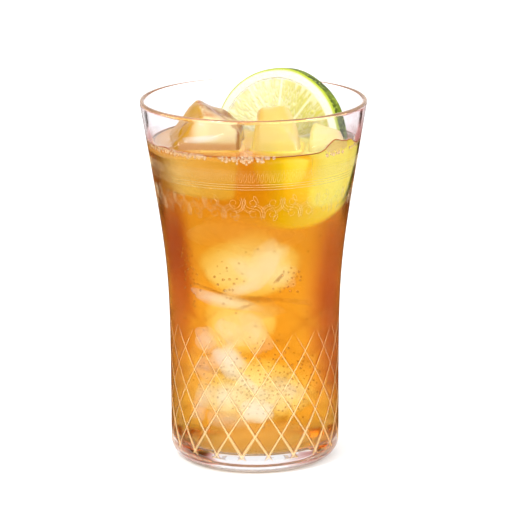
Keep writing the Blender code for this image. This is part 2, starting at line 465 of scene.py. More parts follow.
def wet_ice_material():
    """Ice above the drink: thawing and a little milky, under a film of the drink. Each side is coloured with
    painted light and shade, and glows faintly with painted light.

    Its IOR is counted against that film, which has the shine.
    """
    lit = {"Emission Color": "hue Color", "Emission Strength": 0.24}
    inputs = {"Base Color": "hue Color", "Roughness": 0.12, "IOR": 1.02, "Transmission Weight": 0.45, **lit}
    return new_material("milky_thawing_ice", inputs)[0]


def veil_material(name, colour):
    """One thin veil of many round each other, soft at the edges, that glows in its own colour.

    Pale ones are milky air in the ice and patches in the drink, lit with painted light; dark ones are
    painted shade.
    """
    lit = {"Emission Color": colour, "Emission Strength": 1.0, "Specular IOR Level": 0.0}
    inputs = {"Base Color": linear("#7C7973"), "Roughness": 1.0, "Alpha": VEIL_STEP, **lit}
    return new_material(name, inputs)[0]


def froth_material():
    """Froth: films of drink round air, so thin and so many that they look like pale beads with a painted
    glow.
    """
    lit = {"Emission Color": linear("#FFE5BC"), "Emission Strength": 0.14}
    inputs = {"Base Color": linear("#FFE7C2"), "Roughness": 0.05, "IOR": WATER, "Transmission Weight": 0.6}
    made, tree, shader = new_material("bubble_film", {**inputs, **lit})
    make_uneven(tree, shader, patchy(tree, 2 * MM, 0.0), 0.05 * MM, 0.2)
    return made


def fruit_material(name, roughness, ior, weight, radius):
    """Moist fruit: light goes into it by this many millimetres of red, green and blue."""
    inside = {"Subsurface Weight": weight, "Subsurface Radius": radius, "Subsurface Scale": MM}
    return new_material(name, {"Roughness": roughness, "IOR": ior, **inside})


def sink(tree, shader, colour):
    """Fades the colour under the drink and adds a painted glow there, for the light that comes through the
    slice.
    """
    faded = turned_to(tree, colour, linear("#3A3410"), "sunk Fac")
    lit = {"Emission Color": "glow Color", "Emission Strength": "sunk Fac"}
    fill(tree, shader, {"Base Color": faded, **lit})


def lime_peel_material(settings):
    """Lime peel, cut with a knife: waxy dark rind with oil glands, a zest line and matt white pith."""
    made, tree, shader = fruit_material("cut_lime_peel", 0.5, 1.35, 0.35, (1.2, 1.5, 0.6))
    fill(tree, shader, {"Specular IOR Level": 0.15})
    rind = turned_to(tree, settings.rind, linear("#6B7C14"), patchy(tree, 5 * MM), (0.35, 0.75))
    rind = turned_to(tree, rind, linear("#A3B046"), patchy(tree, 0.9 * MM, 1.0), (0.54, 0.74))
    cut = turned_to(tree, settings.pith, settings.zest, "out Fac", (0.95, 0.985))
    sink(tree, shader, turned_to(tree, cut, rind, "skin Fac"))
    place = add_node(tree, "TexCoord", {}, "Object")
    glands = add_node(tree, "TexVoronoi", {"Vector": place, "Scale": 1 / (1.1 * MM)}, "Distance")
    make_uneven(tree, shader, glands, 0.35 * MM, 0.5)
    return made


def lime_flesh_material(settings):
    """Wet lime flesh: glassy yellow-green sacs that light shines through, between white membranes."""
    made, tree, shader = fruit_material("wet_lime_flesh", 0.22, 1.36, 0.8, (3.0, 3.4, 1.0))
    juice = turned_to(tree, settings.flesh, linear("#DEDEA8"), patchy(tree, 6 * MM), (0.3, 0.75))
    juice = turned_to(tree, juice, linear("#C4BE58"), "ripe Fac")
    sink(tree, shader, turned_to(tree, juice, linear("#EFEEDA"), "pale Fac"))
    make_uneven(tree, shader, patchy(tree, 0.8 * MM), 0.12 * MM, 0.4)
    return made


def floor_material(colour):
    """A seamless paper sweep, lit so evenly that it shows white."""
    inputs = {"Base Color": colour, "Roughness": 0.9, "Emission Color": WHITE, "Emission Strength": 0.12}
    made, tree, shader = new_material("white_paper_sweep", inputs)
    make_uneven(tree, shader, patchy(tree, 2 * MM), 0.05 * MM, 0.2)
    return made


def gel_material(name, colour):
    """A lighting gel: a sheet that filters the light, to the power of how well it covers there."""
    made, tree, shader = new_material(name, {})
    tree.nodes.remove(shader)
    filtered = add_node(tree, "Gamma", {"Color": colour, "Gamma": "cover Fac"}, "Color")
    sheet = add_node(tree, "BsdfTransparent", {"Color": filtered}, "BSDF")
    fill(tree, tree.nodes["Material Output"], {"Surface": sheet})
    return made


def flare(height):
    """How far the flare has opened: softplus of the height, nothing below and a straight lean above."""
    return FLARE_BLEND * np.log1p(np.exp((height - FLARE_HEIGHT) / FLARE_BLEND))


def outer_radius(height):
    """The outer wall: the foot's radius plus a share of the flare."""
    return FOOT_RADIUS + (RIM_RADIUS - FOOT_RADIUS) / flare(HEIGHT) * flare(height)


def inner_radius(height):
    """The inner wall: the outer one less a thickness that goes evenly from foot to rim."""
    return outer_radius(height) - FOOT_WALL - (RIM_WALL - FOOT_WALL) * height / HEIGHT


def round_axis(radius, angles, heights):
    """Points from their distance to the Z axis, their angle round it and their height."""
    parts = np.broadcast_arrays(radius * np.sin(angles), -radius * np.cos(angles), heights)
    return np.stack(parts, axis=-1)


def from_axis(points):
    """How far points are from the Z axis."""
    return np.hypot(points[..., 0], points[..., 1])


def arc(middle, radius, start, end, steps):
    """Points (radius, height) on part of a circle, by angle from straight out."""
    angles = np.radians(np.linspace(start, end, steps + 1))
    return np.stack([middle[0] + radius * np.cos(angles), middle[1] + radius * np.sin(angles)], axis=1)


def line(start, end, steps):
    """Evenly spaced points from start to end."""
    return np.linspace(start, end, steps + 1)


def wall(radius_at, heights):
    """Points on a wall whose radius is a function of height."""
    return np.stack([radius_at(heights), heights], axis=1)


def inside_profile(inset, top, steps):
    """The inside of the tumbler from near the middle of its floor to the top, moved in by the inset."""
    low = FLOOR + CORNER_RADIUS
    middle = (inner_radius(low) - CORNER_RADIUS, low)
    floor = line((1.0 * MM, FLOOR + inset), (middle[0], FLOOR + inset), 14)
    side = wall(lambda height: inner_radius(height) - inset, np.linspace(low, top, steps + 1))
    return np.concatenate([floor[:-1], arc(middle, CORNER_RADIUS - inset, -90, 0, 8)[:-1], side])


def turned(profile, columns):
    """Rings of points: each point (radius, height) of the profile carried round the Z axis."""
    return round_axis(profile[:, :1], np.arange(columns) * math.tau / columns, profile[:, 1:])


def skin(rings, across=None):
    """Triangles between neighbouring rings, two to a cell, split the other way where across is true."""
    rows, columns = rings.shape[:2]
    index = np.arange(rows * columns).reshape(rows, columns)
    turned_on = np.roll(index, -1, axis=1)
    here, beside, above, beyond = index[:-1], turned_on[:-1], index[1:], turned_on[1:]
    split = np.zeros(here.shape, bool) if across is None else across
    first = np.stack([here, beside, np.where(split, above, beyond)], axis=2)
    second = np.stack([np.where(split, beside, here), beyond, above], axis=2)
    return np.concatenate([first.reshape(-1, 3), second.reshape(-1, 3)])


def closed(rings, across=None):
    """A closed shell: the rings' skin, with a fan to a middle point at the first and last ring."""
    rows, columns = rings.shape[:2]
    points = np.concatenate([rings.reshape(-1, 3), rings[0].mean(0)[None], rings[-1].mean(0)[None]])
    ring = np.arange(columns)
    following = np.roll(ring, -1)
    last = (rows - 1) * columns
    low = np.stack([following, ring, np.full(columns, rows * columns)], axis=1)
    high = np.stack([ring + last, following + last, np.full(columns, rows * columns + 1)], axis=1)
    return outward(points, np.concatenate([skin(rings, across), low, high]))


def looped(rings):
    """A closed shell like a tyre: the rings' skin, with the last ring joined to the first."""
    index = np.arange(rings[:, :, 0].size).reshape(rings.shape[:2])
    ends = np.concatenate([index[-1], index[0]])
    seam = ends[skin(np.stack([rings[-1], rings[0]]))]
    return outward(rings.reshape(-1, 3), np.concatenate([skin(rings), seam]))


def outward(points, faces):
    """Turns all the faces of a closed shell over if the volume that they enclose comes out negative."""
    corners = points[faces]
    volume = np.einsum("ij,ij->", corners[:, 0], np.cross(corners[:, 1], corners[:, 2]))
    return (points, faces) if volume > 0 else (points, faces[:, ::-1])


def joined(shells):
    """Several shells as one, the later ones' point numbers moved up."""
    starts = np.cumsum([0] + [len(points) for points, faces in shells[:-1]])
    points = np.concatenate([shell[0] for shell in shells])
    faces = np.concatenate([shell[1] + start for shell, start in zip(shells, starts)])
    return points, faces


def hollow(shell):
    """The same shell with its faces turned inwards, as the wall of a cavity."""
    return shell[0], shell[1][:, ::-1]


def make_mesh(name, shell):
    """A mesh of triangles from the arrays of a shell, shaded smooth."""
    points, faces = shell
    mesh = bpy.data.meshes.new(name)
    mesh.vertices.add(len(points))
    mesh.vertices.foreach_set("co", points.astype(np.float32).ravel())
    mesh.loops.add(faces.size)
    mesh.loops.foreach_set("vertex_index", faces.astype(np.int32).ravel())
    mesh.polygons.add(len(faces))
    mesh.polygons.foreach_set("loop_start", np.arange(len(faces), dtype=np.int32) * 3)
    mesh.update(calc_edges=True)
    mesh.validate()
    mesh.shade_smooth()
    return mesh


def make_object(name, mesh, material):
    """An object at the origin with this mesh and material."""
    made = bpy.data.objects.new(name, mesh)
    bpy.context.scene.collection.objects.link(made)
    mesh.materials.clear()
    mesh.materials.append(material)
    return made


def store(mesh, name, values):
    """Keeps a number, or a row of four for a colour, at each point of the mesh for its material to read."""
    kind, field = ("FLOAT_COLOR", "color") if values.ndim == 2 else ("FLOAT", "value")
    kept = mesh.attributes.new(name, kind, "POINT")
    kept.data.foreach_set(field, values.astype(np.float32).ravel())


def make_piece(name, shell, material, slot, replaced=None, **kept):
    """A piece from a shell and what its material reads. The slot that it is given is not used.

    It may stand in for a packed node, and rides on the object's one body.
    """
    mesh = make_mesh(name, shell)
    for field, values in kept.items():
        store(mesh, field, values)
    piece = make_object(name, mesh, material)
    if replaced:
        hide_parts(replaced)
    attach(piece, "root")
    return piece


def discard(*things):
    """Removes working objects and their meshes."""
    for thing in things:
        mesh = thing.data
        bpy.data.objects.remove(thing)
        bpy.data.meshes.remove(mesh)


def arrays_of(mesh):
    """A mesh's points and triangles as arrays."""
    mesh.calc_loop_triangles()
    points = np.empty(len(mesh.vertices) * 3, np.float32)
    mesh.vertices.foreach_get("co", points)
    faces = np.empty(len(mesh.loop_triangles) * 3, np.int32)
    mesh.loop_triangles.foreach_get("vertices", faces)
    return points.reshape(-1, 3).astype(float), faces.reshape(-1, 3)


def normals_of(mesh):
    """The smooth normal at each point of a mesh."""
    normals = np.empty(len(mesh.vertices) * 3, np.float32)
    mesh.vertex_normals.foreach_get("vector", normals)
    return normals.reshape(-1, 3).astype(float)


def shell_normals(shell):
    """The smooth normal at each point of a shell."""
    mesh = make_mesh("working", shell)
    normals = normals_of(mesh)
    bpy.data.meshes.remove(mesh)
    return normals


def shrunk(shell, amount):
    """A shell moved in along its smooth normals."""
    return shell[0] - shell_normals(shell) * amount, shell[1]


def set_modifiers_in(piece):
    """Replaces a piece's mesh by what its modifiers make of it."""
    graph = bpy.context.evaluated_depsgraph_get()
    made = bpy.data.meshes.new_from_object(piece.evaluated_get(graph))
    piece.modifiers.clear()
    piece.data = made


def ripple(points, wave, seed):
    """Smooth unevenness of about -1 to 1: the sum of 24 sine waves of one length in random directions."""
    draw = np.random.default_rng(seed)
    ways = draw.normal(size=(24, 3))
    ways *= math.tau / wave / np.linalg.norm(ways, axis=1, keepdims=True)
    return np.sin(points @ ways.T + draw.uniform(0, math.tau, 24)).sum(axis=1) / math.sqrt(24)


def smooth_step(values, start, end):
    """0 before the start, 1 after the end, and 3t^2 - 2t^3 between."""
    share = np.clip((values - start) / (end - start), 0, 1)
    return share * share * (3 - 2 * share)


def groove_slope(pitch):
    """The angle at which the lattice's lines rise: half a pitch round the foot for each row."""
    return math.atan2(pitch * FOOT_RADIUS / 2, ROW_HEIGHT)


def cut_depths(angles, heights, settings):
    """The lattice's depth, and whether the groove that turns on as it rises is the deeper one there.

    Each groove is a V, broader and deeper low down: its depth falls evenly to nothing at half its width.
    One family of middle lines turns on by half a pitch in each row, and the other turns back.
    """
    pitch = math.tau / settings.diamonds
    turn = angles[None, :] / pitch
    lift = (heights[:, None] - EVEN_ROW) / (2 * ROW_HEIGHT)
    share = (heights - heights[0]) / (heights[-1] - heights[0])
    broad = (BROAD_LOW - BROAD_FALL * share)[:, None]
    depths = []
    for phase in (turn - lift, turn + lift):
        aside = np.abs(phase - np.round(phase)) * pitch * FOOT_RADIUS * math.cos(groove_slope(pitch))
        depths.append(np.clip(1 - aside / (broad * settings.cut_width / 2), 0, None))
    bottom = smooth_step(heights, heights[0], heights[0] + CUT_END)
    top = 1 - smooth_step(heights, heights[-1] - 4 * CUT_END, heights[-1])
    fade = settings.cut_depth * broad * (bottom * top)[:, None]
    return np.maximum(*depths) * fade, depths[0] > depths[1]


def glass_rings(settings):
    """The tumbler's profile carried round, with the lattice sunk into the outer wall's rows."""
    lip = RIM_WALL / 2
    rim = (outer_radius(HEIGHT - lip) - lip, HEIGHT - lip)
    step = ROW_HEIGHT / (STEPS_PER_PITCH / 2)
    cut = EVEN_ROW + step * np.arange(ROWS_ABOVE, -ROWS_BELOW - 1, -1)
    plain = np.linspace(HEIGHT - 2 * lip, cut[0], 34)[:-1]
    heel = arc((outer_radius(HEEL_RADIUS) - HEEL_RADIUS, HEEL_RADIUS), HEEL_RADIUS, 0, -90, 9)
    inside = inside_profile(0.0, HEIGHT - 2 * lip, 40)
    before = np.concatenate([inside, arc(rim, lip, 165, 15, 8), wall(outer_radius, plain)])
    lattice = wall(outer_radius, cut[cut > HEEL_RADIUS])
    after = np.concatenate([heel, line((heel[-1, 0] - 4 * MM, 0.0), (1.0 * MM, 0.0), 5)])
    columns = settings.diamonds * STEPS_PER_PITCH
    rings = turned(np.concatenate([before, lattice, after]), columns)
    depths, turns_on = cut_depths(np.arange(columns) * math.tau / columns, lattice[::-1, 1], settings)
    depths, turns_on = depths[::-1], turns_on[::-1]
    rows = slice(len(before), len(before) + len(lattice))
    radius = np.linalg.norm(rings[rows, :, :2], axis=2)
    rings[rows, :, :2] *= (1 - depths / radius)[:, :, None]
    across = np.zeros((len(rings) - 1, columns), bool)
    across[len(before):len(before) + len(lattice)] = turns_on
    return rings, across


def wall_frame(angles, heights):
    """Points on the outer wall and the directions out of it, from angle and height."""
    return round_axis(outer_radius(heights), angles, heights), round_axis(1, angles, 0)


def ridges(angles, heights, width, relief):
    """Thin frosted lines: a triangle carried along each stroke, two corners in the wall and one proud.

    Angles and heights hold one stroke a row. The triangle lies across the stroke's direction.
    """
    points, out = wall_frame(angles, heights)
    side = np.cross(np.gradient(points, axis=1), out)
    side /= np.linalg.norm(side, axis=2, keepdims=True)
    sunk = points - out * relief
    corners = [sunk + side * width / 2, sunk - side * width / 2, points + out * relief]
    return joined([closed(stroke) for stroke in np.stack(corners, axis=2)])


def strokes_round(shape, count, shift=0.0):
    """One stroke (arc length along the wall, height) repeated evenly round the glass."""
    radius = outer_radius(shape[:, 1])
    starts = (np.arange(count) + shift) * math.tau / count
    return starts[:, None] + shape[:, 0] / radius, np.repeat(shape[None, :, 1], count, axis=0)


def hoop(height):
    """A fine line right round, in 24 strokes that meet."""
    angles = line(0, 1, 12) * math.tau / 24
    return strokes_round(np.stack([angles * outer_radius(height), 0 * angles + height], axis=1), 24)


def loops_band():
    """Upright needle-etched loops, side by side: each is a narrow ellipse that leans a little."""
    turn = line(0, 0.96, 14) * math.tau
    upright = 1.75 * MM * np.cos(turn)
    aside = 0.45 * MM * np.sin(turn) + 0.12 * upright
    return strokes_round(np.stack([aside, LOOPS_HEIGHT + upright], axis=1), LOOPS)


def dots_band():
    """A fine dotted line above the loops: short level strokes."""
    shape = np.stack([line(-0.25, 0.25, 2) * MM, np.full(3, DOTS_HEIGHT)], axis=1)
    return strokes_round(shape, DOTS)


def curl(side, lean, start, end, turns):
    """A curl: a spiral whose radius goes from start to end over the turns, leaning by some degrees."""
    share = line(0, 1, 22)
    turn = math.radians(lean) + share * turns * math.tau
    radius = (start + (end - start) * share) * MM
    height = SCROLL_HEIGHT + side * (radius * np.sin(turn) - 2.0 * MM)
    return np.stack([radius * np.cos(turn), height], axis=1)


def leaf(side, width):
    """One edge of a leaf between two curls: a bow from the stem to the tip, bulging by the width."""
    share = line(0, 1, 8)
    bow = width * np.sin(math.pi * share**0.8)
    lean = math.radians(58)
    run = 2.9 * MM * share
    across = run * math.cos(lean) - bow * math.sin(lean)
    up = run * math.sin(lean) + bow * math.cos(lean)
    return np.stack([4.1 * MM + across, SCROLL_HEIGHT + side * (up - 4.6 * MM)], axis=1)


def etched_strokes():
    """Every stroke of the etched pattern in groups of like ones, each with its share of the line's width."""
    groups = [(hoop(height), 1.0) for height in HOOP_HEIGHTS]
    groups += [(loops_band(), 0.6), (dots_band(), 0.8)]
    for side, shift, mirrored in ((1, 0.0, False), (-1, 0.5, False), (1, 0.45, True), (-1, 0.95, True)):
        for lean, start, end, turns in CURLS:
            lean, turns = (180 - lean, -turns) if mirrored else (lean, turns)
            groups.append((strokes_round(curl(side, lean, start, end, turns), SCROLLS, shift), 0.6))
    for side, shift in ((1, 0.2), (-1, 0.7)):
        for width in (0.6, -0.5):
            groups.append((strokes_round(leaf(side, width * MM), SCROLLS, shift), 0.6))
    return groups


def flanks(settings, facing, widest, narrowest):
    """The grooves' flanks that face up (facing 1) or down (-1): a slim wedge laid along each.

    A groove's middle line turns by half a pitch in each row. One edge of the flank lies on that line,
    as deep as the groove, and the other at the wall's surface, up to half a groove's width away.
    The wedge covers the widest share of it low down and the narrowest near the top, up to 40 % less
    in slow waves.
    """
    pitch = math.tau / settings.diamonds
    slope = groove_slope(pitch)
    heights = EVEN_ROW + ROW_HEIGHT / (STEPS_PER_PITCH / 2) * np.arange(1 - ROWS_BELOW, ROWS_ABOVE)
    share = (heights - heights[0]) / (heights[-1] - heights[0])
    broad = BROAD_LOW - BROAD_FALL * share
    fade = smooth_step(share, 0, 0.03) * (1 - smooth_step(share, 0.88, 1))
    half = broad * fade * settings.cut_width / 2
    depth = broad * fade * settings.cut_depth
    reach = widest + (narrowest - widest) * smooth_step(share, 0.12, 0.6)
    lift = 0.03 * MM
    shells = []
    for side in (1, -1):
        for start in range(settings.diamonds):
            middle = pitch * (start + side * (heights - EVEN_ROW) / (2 * ROW_HEIGHT))
            worn = reach * (0.8 + 0.2 * np.sin(9 * share + 2.4 * start + side))
            aside = facing * side * half * math.cos(slope) / outer_radius(heights)
            fall = facing * worn * half * math.sin(slope)
            bottom, out = wall_frame(middle, heights)
            edge, edge_out = wall_frame(middle + worn * aside, heights - fall)
            low = bottom - out * (depth - lift)[:, None]
            high = edge + edge_out * (lift - (1 - worn) * depth)[:, None]
            back = (low + high) / 2 - out * 0.1 * MM
            shells.append(closed(np.stack([low, high, back], axis=1)))
    return joined(shells)


def remeshed_copy(node, grain):
    """A copy of a packed lump: its points merged, then one even skin of small squares, smoothed."""
    piece = make_object(node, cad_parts[node].data.copy(), None)
    weld = piece.modifiers.new("weld", "WELD")
    weld.merge_threshold = 0.01 * MM
    even = piece.modifiers.new("even", "REMESH")
    even.mode = "VOXEL"
    even.voxel_size = grain
    set_modifiers_in(piece)
    heights = arrays_of(piece.data)[0][:, 2]
    under_drink = piece.vertex_groups.new(name="under")
    under_drink.add(np.flatnonzero(heights < LEVEL - 3 * MM).tolist(), 1.0, "REPLACE")
    soften = piece.modifiers.new("soften", "SMOOTH")
    soften.iterations = 3
    melt = piece.modifiers.new("melt", "SMOOTH")
    melt.iterations = 40
    melt.vertex_group = "under"
    set_modifiers_in(piece)
    return piece


def lump(node, settings, seed):
    """A lump of ice as a shell: the packed one's form with shallow melted waves."""
    piece = remeshed_copy(node, settings.grain)
    points, faces = arrays_of(piece.data)
    normals = normals_of(piece.data)
    discard(piece)
    waves = ripple(points, settings.melt_wave, seed) - 0.6
    return points + normals * (waves * settings.melt_depth)[:, None], faces


def floating_lumps(settings):
    """The lumps that break the surface, by the names of their packed nodes."""
    return {node: lump(node, settings, seed) for seed, node in enumerate(AFLOAT)}


def painted_ice_light_and_shade(node, shell):
    """A floating lump's painted light and shade at each point, as a colour by the way it faces and where it
    is.
    """
    across, height = shell[0][:, 0], shell[0][:, 2]
    normals = shell_normals(shell)
    front, left_end, foot, left, right, top = np.array([linear(code) for code in AFLOAT[node]])
    way_over = (across - across.min()) / (across.max() - across.min())
    shares = (
        (1 - smooth_step(way_over, 0.28, 0.42), left_end),
        (1 - smooth_step(height, 116.5 * MM, 118.5 * MM), foot),
        (smooth_step(normals[:, 2], 0.93, 0.99) * smooth_step(height, 124 * MM, 125.4 * MM), top),
        (smooth_step(-normals[:, 0], 0.1, 0.4) * (1 - smooth_step(way_over, 0.45, 0.55)), left),
        (smooth_step(normals[:, 0], 0.15, 0.45), right),
    )
    hue = front
    for share, colour in shares:
        hue = hue + share[:, None] * (colour - hue)
    return hue


def ice_piece(node, shell, clear_ice, milky_ice):
    """A floating lump: clear under the drink and milky above it."""
    # The lump keeps its painted light and shade at its points, for the milky ice above the drink to read.
    piece = make_piece(f"melting_{node}", shell, clear_ice, "ice", node, hue=painted_ice_light_and_shade(node, shell))
    piece.data.materials.append(milky_ice)
    points, faces = shell
    above = points[faces][:, :, 2].mean(axis=1) > LEVEL + 0.2 * MM
    piece.data.polygons.foreach_set("material_index", above.astype(np.int32))


def ball_directions(rows, columns):
    """Directions all round: rings from near the bottom pole to near the top one."""
    polar = math.pi * (np.arange(rows) + 0.5) / rows
    return turned(np.stack([np.sin(polar), -np.cos(polar)], axis=1), columns)


def ice_block(middle, depth, lean, sides, seed):
    """A half-melted block of ice.

    Along a direction d its surface is at the radius (sum over its planes of max(0, d.n / h)^p)^(-1/p),
    where n is a plane's normal and h its distance. The greater p is, the sharper the edges are.
    """
    turns, distances = np.array(sides, float).T
    turns = np.radians(turns)
    flats = np.stack([np.cos(turns), 0 * turns, np.sin(turns)], axis=1)
    aside, down = np.radians(lean)
    front = np.array([[math.sin(aside), -1, -math.sin(down)], [math.sin(down), 1, math.sin(aside)]])
    front /= np.linalg.norm(front, axis=1, keepdims=True)
    away = np.concatenate([distances, [depth, depth]]) * MM
    normals = np.concatenate([flats, front]) / away[:, None]
    ways = ball_directions(*BLOCK_GRID)
    reach = np.clip(ways @ normals.T, 0, None)
    radius = (reach**ICE_SHARPNESS).sum(axis=2) ** (-1 / ICE_SHARPNESS)
    flat_ways = ways.reshape(-1, 3)
    melted = ripple(flat_ways, 0.9, seed) + 0.5 * ripple(flat_ways, 0.35, seed + 9)
    points = ways * (radius * (1 + 0.05 * melted.reshape(radius.shape)))[:, :, None]
    return inside_glass(points + np.array(middle) * MM)


def sunk_blocks():
    """The blocks of ice wholly under the surface, as closed shells."""
    return [closed(ice_block(*block, seed)) for seed, block in enumerate(SUNK_ICE)]


def inside_glass(points, clear=2 * MM):
    """Points drawn in, where they must be, to stay clear of the tumbler's wall."""
    limit = inner_radius(points[..., 2]) - clear
    share = np.minimum(1, limit / np.maximum(from_axis(points), 1e-9))
    return points * np.stack([share, share, np.ones_like(share)], axis=-1)


def moved(points, place):
    """Points carried by a matrix."""
    matrix = np.array(place)
    return points @ matrix[:3, :3].T + matrix[:3, 3]


def scattered_balls(centres, radii):
    """Balls of few faces, with the given radii at the given centres, as one set of shells."""
    points, faces = closed(ball_directions(*BALL_GRID))
    placed = centres[:, None, :] + radii[:, None, None] * points
    numbers = np.arange(len(centres))[:, None, None] * len(points) + faces
    return placed.reshape(-1, 3), numbers.reshape(-1, 3)


def veils(patches, square=1.0):
    """Closed veils nested in each other, so that a milky patch thins out to its edge.

    Each is an ellipsoid's surface, drawn in step by step and pushed in and out by 15 % in soft waves.
    A power below 1 of its coordinates makes it blockish.
    """
    shells = []
    ways = ball_directions(*VEIL_GRID)
    ways = np.sign(ways) * np.abs(ways) ** square
    for number, (middle, radii, tilt, count) in enumerate(patches):
        turn = np.array(Matrix.Rotation(math.radians(tilt), 3, "Y"))
        for share in np.linspace(1, 0.25, count):
            waves = ripple(ways.reshape(-1, 3) + share, 1.1, number).reshape(*VEIL_GRID, 1)
            points = (ways * radii * share * (1 + 0.15 * waves)) @ turn.T + middle
            shells.append(closed(inside_glass(points * MM, 0.5 * MM)))
    return joined(shells)


def lime_place():
    """Turns the slice's own axes (face up, disc flat) to where it stands in the glass."""
    upright = Matrix.Rotation(math.pi / 2, 4, "X")
    lean = Matrix.Rotation(-LIME_LEAN, 4, "X")
    turn = Matrix.Rotation(-LIME_TURN, 4, "Z")
    return Matrix.Translation(LIME_CENTRE) @ turn @ lean @ upright


def peel_section():
    """The peel's outline (radius, height) across the slice: near face, round the rind, and far face."""
    inner = FLESH_SHARE * LIME_RADIUS
    edge = LIME_RADIUS - RIND_ROUNDING
    near = line((inner, 0.0), (edge, 0.0), 8)
    first = arc((edge, -RIND_ROUNDING), RIND_ROUNDING, 90, 0, 6)
    side = line((LIME_RADIUS, -RIND_ROUNDING), (LIME_RADIUS, RIND_ROUNDING - LIME_THICKNESS), 10)
    second = arc((edge, RIND_ROUNDING - LIME_THICKNESS), RIND_ROUNDING, 0, -90, 6)
    far = line((edge, -LIME_THICKNESS), (inner, -LIME_THICKNESS), 8)
    return np.concatenate([near, first[1:], side[1:], second[1:], far[1:]])


def peel_shell():
    """The peel's section carried round and closed inside, how far out its points are, and how much skin."""
    rings = turned(peel_section(), PEEL_COLUMNS)
    far_out = np.linalg.norm(rings[:, :, :2], axis=2) / LIME_RADIUS
    uneven = ripple(rings.reshape(-1, 3), 17 * MM, 5).reshape(far_out.shape)
    rings[:, :, :2] *= (1 + 0.008 * uneven * smooth_step(far_out, FLESH_SHARE, 1))[:, :, None]
    depth = np.minimum(-rings[:, :, 2], rings[:, :, 2] + LIME_THICKNESS)
    skinned = smooth_step(depth, 0.35 * MM, 1.0 * MM) * smooth_step(far_out, 0.97, 0.99)
    return looped(rings), far_out.ravel(), skinned.ravel()


def under(points):
    """1 for points under the drink's level, 0 above it, with a short smooth step between."""
    return 1 - smooth_step(points[:, 2], LEVEL - 2 * MM, LEVEL + 1 * MM)


def glow(points):
    """How brightly the slice's painted glow shines under the drink: less far back, and more high up at the
    right.
    """
    across, back, height = points.T
    right = smooth_step(across, 6 * MM, 9 * MM) * (1 - smooth_step(across, 14 * MM, 17 * MM))
    high = smooth_step(height, 92 * MM, 100 * MM)
    return under(points) * (1.1 - 0.2 * smooth_step(back, -4 * MM, 18 * MM) + 0.35 * right * high)


def glow_colours(points):
    """The colour of that painted glow at each point, by how far it lies to the right."""
    stops = np.array([linear(code) for code in GLOW_COLOURS])
    return np.stack([np.interp(points[:, 0] / MM, GLOW_PLACES, channel) for channel in stops.T], axis=1)


def rind_shade(points, depth):
    """1 on the dark back half of the rind at the right edge, else 0, by depth through the slice."""
    aside = points - np.array(LIME_CENTRE)
    turn = np.degrees(np.arctan2(from_axis(aside) * np.sign(aside[:, 0]), -aside[:, 2]))
    return smooth_step(turn, 40, 60) * smooth_step(depth, 0.5, 0.65)


def sac_seeds(settings, seed):
    """Middles of the juice sacs: rings a little more than half a sac apart, jittered."""
    draw = np.random.default_rng(seed)
    rings = np.arange(2.5 * MM, FLESH_SHARE * LIME_RADIUS, 0.55 * settings.sac_length)
    counts = (math.tau * rings / settings.sac_width).astype(int)
    radius = np.repeat(rings, counts) + draw.uniform(-0.3, 0.3, counts.sum()) * settings.sac_length
    angle = draw.uniform(0, math.tau, counts.sum())
    return radius, angle


def sac_edges(radius, angle, settings, seed):
    """How far a point lies inside its juice sac, from 0 at the edge to 1.

    The distance to a seed counts sac lengths along the radius and sac widths across it.
    The measure is how much nearer the nearest seed is than the next one.
    """
    seed_radius, seed_angle = sac_seeds(settings, seed)
    along = (radius[:, None] - seed_radius) / settings.sac_length
    turn = (angle[:, None] - seed_angle + math.pi) % math.tau - math.pi
    across = turn * radius[:, None] / settings.sac_width
    near = np.partition(np.hypot(along, across), 1, axis=1)[:, :2]
    return np.clip((near[:, 1] - near[:, 0]) / 0.45, 0, 1)


def flesh_face(settings, seed, shares, columns):
    """One face of the flesh in polar rings: its points with their sacs raised, and how pale each is."""
    radius = np.repeat(shares * LIME_RADIUS, columns)
    angle = np.tile(np.arange(columns) * math.tau / columns, len(shares))
    inside = sac_edges(radius, angle, settings, seed)
    sector = math.tau / LIME_SEGMENTS
    aside = np.abs((angle / sector + 0.5) % 1 - 0.5) * sector * radius
    membrane = 1 - smooth_step(aside, 0.15 * MM, 0.75 * MM)
    core = 1 - smooth_step(radius, 1.6 * MM, 3.2 * MM)
    rim = smooth_step(radius / LIME_RADIUS, FLESH_SHARE - 0.035, FLESH_SHARE)
    fine = np.stack([9 * np.sin(angle), 9 * np.cos(angle), 60 * radius], 1)
    streak = smooth_step(ripple(fine, 0.95, seed), 0.1, 0.9)
    streak = 0.45 * streak * smooth_step(radius / LIME_RADIUS, 0.66, 0.82)
    fibre = np.maximum.reduce([0.6 * membrane, core, 0.6 * rim, streak])
    relief = settings.sac_relief * (smooth_step(inside, 0, 0.8) - 1) * (1 - fibre)
    pale = np.maximum(fibre, 0.35 * (1 - smooth_step(inside, 0, 0.35)))
    return round_axis(radius, angle, relief).reshape(len(shares), columns, 3), pale


def flesh_shell(settings):
    """The flesh: near face, a wall against the peel and far face, closed at the core."""
    shares = np.linspace(0.02, FLESH_SHARE - 0.004, 64)
    near, near_pale = flesh_face(settings, 21, shares, FLESH_COLUMNS)
    far, far_pale = flesh_face(settings, 34, shares[::-2], FLESH_COLUMNS)
    far[:, :, 2] = -LIME_THICKNESS - far[:, :, 2]
    points, faces = closed(np.concatenate([near, far]))
    return (points, faces), np.concatenate([near_pale, far_pale, [1.0, 1.0]])


def slice_cutter():
    """A plain disc inside the slice of lime, which clears its place in the drink."""
    radius, half = LIME_RADIUS - 0.4 * MM, LIME_THICKNESS / 2 - 0.5 * MM
    profile = np.array([(0.3 * radius, half), (radius, half), (radius, -half), (0.3 * radius, -half)])
    points, faces = closed(turned(profile, 160) - np.array([0, 0, LIME_THICKNESS / 2]))
    return moved(points, lime_place()), faces


